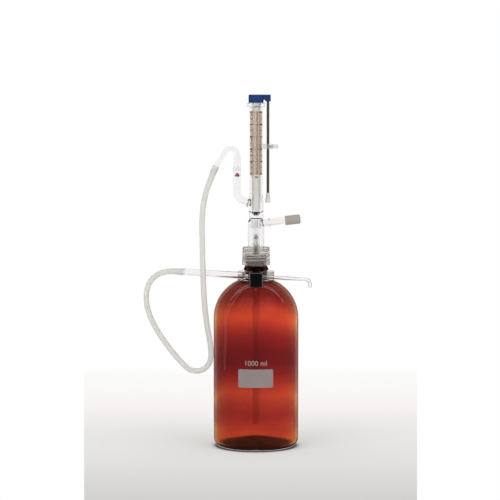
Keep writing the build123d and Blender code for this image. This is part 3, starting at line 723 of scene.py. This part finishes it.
# Share of the light that reaches the floor under and round the bottle's foot, by mm from the axis.
CONTACT_SHADE = [(0.0, 0.03), (40.0, 0.03), (44.0, 0.12), (46.0, 0.35), (47.5, 0.70), (49.0, 0.86), (53.0, 0.97),
                 (58.0, 1.0)]


def stage_plane(name, corners, material):
    """Flat stage piece through its corners."""
    mesh = bpy.data.meshes.new(name)
    shape = bmesh.new()
    shape.faces.new([shape.verts.new(c) for c in corners])
    shape.to_mesh(mesh)
    shape.free()
    mesh.materials.append(material)
    piece = bpy.data.objects.new(name, mesh)
    scene.collection.objects.link(piece)
    return piece


def floor_material():
    """Pale floor: grey towards the camera and white far off, where it meets the backdrop."""
    made = bpy.data.materials.new("floor")
    made.use_nodes = True
    tree = made.node_tree
    tree.nodes.clear()
    coords = put(tree, "ShaderNodeTexCoord").outputs["Object"]
    depth = height_of(tree, coords, "Y")
    tone = ramp(tree, spread(tree, depth, *FLOOR_SPAN), [
        (0.00, (0.600, 0.594, 0.582)),
        (0.10, (0.665, 0.658, 0.645)),
        (0.20, (0.735, 0.728, 0.714)),
        (0.31, (0.775, 0.768, 0.753)),
        (0.44, (0.831, 0.823, 0.807)),
        (0.54, (0.888, 0.862, 0.855)),
        (0.62, (0.921, 0.888, 0.880)),
        (0.72, (0.939, 0.930, 0.913)),
        (0.84, (0.956, 0.947, 0.930)),
        (0.93, (0.982, 0.974, 0.956)),
        (0.98, (1.0, 1.0, 1.0)),
    ])
    outward = spread(tree, from_axis(tree, coords), 0.0, CONTACT_FAR)
    contact = ramp(tree, outward, [(at * mm / CONTACT_FAR, (keep, keep, keep)) for at, keep in CONTACT_SHADE])
    shaded = times(tree, tone, contact)
    lit = put(tree, "ShaderNodeBsdfDiffuse", {"Color": shaded})
    glow = put(tree, "ShaderNodeEmission", {"Color": shaded, "Strength": GLOW})
    mixed = put(tree, "ShaderNodeMixShader", {"Fac": GLOW_SHARE, 1: lit.outputs[0], 2: glow.outputs[0]})
    white = put(tree, "ShaderNodeEmission", {"Color": (1, 1, 1, 1), "Strength": 1.0})
    whole = put(tree, "ShaderNodeMixShader",
                {"Fac": spread(tree, depth, *FLOOR_TO_WHITE), 1: mixed.outputs[0], 2: white.outputs[0]})
    put(tree, "ShaderNodeOutputMaterial", {"Surface": whole.outputs[0]})
    return made


def white_material():
    """Plain white backdrop that needs no lamp."""
    made = bpy.data.materials.new("backdrop")
    made.use_nodes = True
    tree = made.node_tree
    tree.nodes.clear()
    glow = put(tree, "ShaderNodeEmission", {"Color": (1, 1, 1, 1), "Strength": 1.0})
    put(tree, "ShaderNodeOutputMaterial", {"Surface": glow.outputs[0]})
    return made


def floor_edge(y):
    """Half width of the floor at y that fills the photograph's frame, which is narrower than the picture."""
    depth = (y - CAMERA_AT.y) * cos(TILT) + CAMERA_AT.z * sin(TILT)
    return PHOTO_HALF_PIXELS / FOCAL_PIXELS * depth


floor = stage_plane("floor", [
    (MIDDLE_X - floor_edge(NEAR_Y), NEAR_Y, 0),
    (MIDDLE_X + floor_edge(NEAR_Y), NEAR_Y, 0),
    (MIDDLE_X + floor_edge(FAR_Y), FAR_Y, 0),
    (MIDDLE_X - floor_edge(FAR_Y), FAR_Y, 0),
], floor_material())
WIDE, BELOW = 5.0, -1 * mm
surround = stage_plane("white_surround", [(-WIDE, -WIDE, BELOW), (WIDE, -WIDE, BELOW), (WIDE, WIDE, BELOW),
                                          (-WIDE, WIDE, BELOW)], white_material())
surround.visible_glossy = False
floor.visible_glossy = False

# A dark screen round the front keeps white reflections off the glass, as in glassware photography.
flag_material = bpy.data.materials.new("dark_flag")
flag_material.use_nodes = True
flag_material.node_tree.nodes["Principled BSDF"].inputs["Base Color"].default_value = (0.02, 0.02, 0.02, 1)
flag_shape = bmesh.new()
profile = [flag_shape.verts.new(c) for c in ((0, 0, -1.5), (3, 0, -1.5), (3, 0, 3.2), (2, 0, 4.6), (0.3, 0, 5.2))]
profile += [flag_shape.edges.new(pair) for pair in zip(profile, profile[1:])]
bmesh.ops.spin(flag_shape, geom=profile, axis=(0, 0, 1), cent=(0, 0, 0), angle=radians(-2 * FLAG_HALF), steps=40)
bmesh.ops.rotate(flag_shape, verts=flag_shape.verts, cent=(0, 0, 0),
                 matrix=Matrix.Rotation(radians(FLAG_HALF - 90), 3, "Z"))
flag_mesh = bpy.data.meshes.new("dark_flag")
flag_shape.to_mesh(flag_mesh)
flag_shape.free()
flag_mesh.materials.append(flag_material)
flag = bpy.data.objects.new("dark_flag", flag_mesh)
scene.collection.objects.link(flag)
flag.visible_camera = False
flag.visible_diffuse = False
flag.visible_transmission = False
flag.visible_shadow = False

SKY_LIGHT = 0.62        # what the white surroundings give the object; the camera and glass see them as plain white
world = bpy.data.worlds.new("studio")
scene.world = world
world.use_nodes = True
sky = world.node_tree
sky.nodes.clear()
path = put(sky, "ShaderNodeLightPath")
seen = put(sky, "ShaderNodeMath", operation="MAXIMUM")
sky.links.new(path.outputs["Is Camera Ray"], seen.inputs[0])
sky.links.new(path.outputs["Is Glossy Ray"], seen.inputs[1])
seen_too = put(sky, "ShaderNodeMath", operation="MAXIMUM")
sky.links.new(seen.outputs[0], seen_too.inputs[0])
sky.links.new(path.outputs["Is Transmission Ray"], seen_too.inputs[1])
level = spread(sky, seen_too.outputs[0], 0.0, 1.0, SKY_LIGHT, 1.0)
backdrop = put(sky, "ShaderNodeBackground", {"Color": (1, 1, 1, 1), "Strength": level})
put(sky, "ShaderNodeOutputWorld", {"Surface": backdrop.outputs[0]})


def lamp(name, at, size, power, target=(0, 0, 0.2)):
    """Soft box that faces a point."""
    data = bpy.data.lights.new(name, "AREA")
    data.shape = "RECTANGLE"
    data.size, data.size_y = size
    data.energy = power
    made = bpy.data.objects.new(name, data)
    made.location = at
    made.rotation_euler = (Vector(target) - Vector(at)).to_track_quat("-Z", "Y").to_euler()
    scene.collection.objects.link(made)
    return made


key = lamp("key_light", (-1.0, -1.2, 1.7), (1.4, 1.4), 9.0)
fill = lamp("fill_light", (1.2, -1.1, 1.5), (1.4, 1.4), 7.0)
key.visible_glossy = False
fill.visible_glossy = False

bpy.context.view_layer.update()
